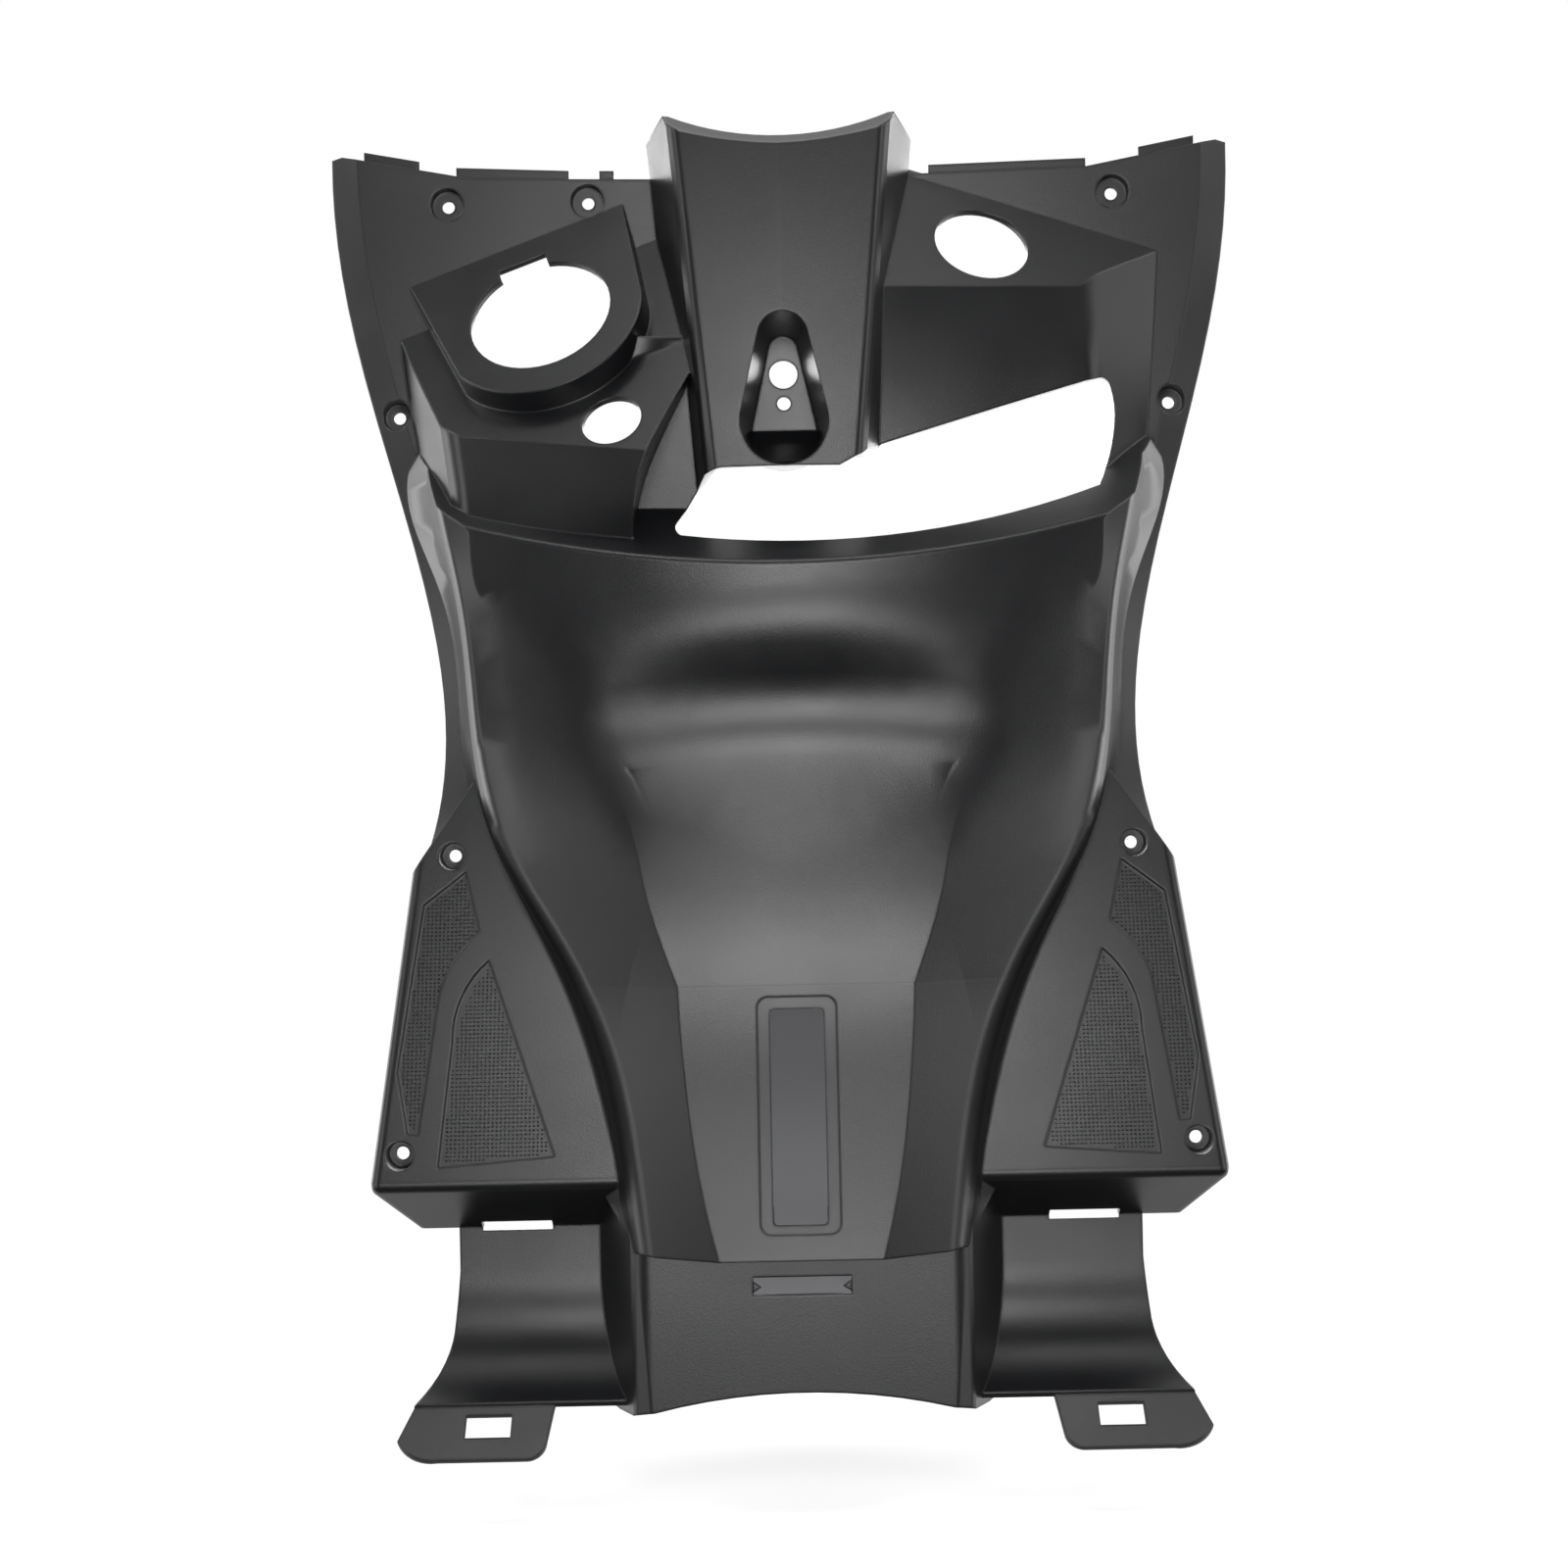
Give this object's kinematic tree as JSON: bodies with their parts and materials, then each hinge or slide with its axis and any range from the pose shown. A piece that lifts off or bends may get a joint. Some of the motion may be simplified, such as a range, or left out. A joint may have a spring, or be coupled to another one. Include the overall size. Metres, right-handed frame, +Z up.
{
  "type": "scooter inner panel",
  "caption": "Moulded black inner leg-shield panel of a scooter: column cover with key recess, tilted trays, glove box opening, foot platforms and a tunnel with a number window.",
  "frame": {"origin": "centre of the key bore, on the front face of the recess floor, on the scooter's centre plane", "axes": "+X to the right as the rider faces the panel, +Z up the panel as it is fitted, -Y out of the visible face toward the rider"},
  "size_m": [0.4422, 0.1401, 0.6153],
  "materials": {
    "black_plastic": "fine-grained satin-matte black moulding"
  },
  "bodies": {
    "root": {"inner_panel": "black_plastic"}
  },
  "joints": []
}
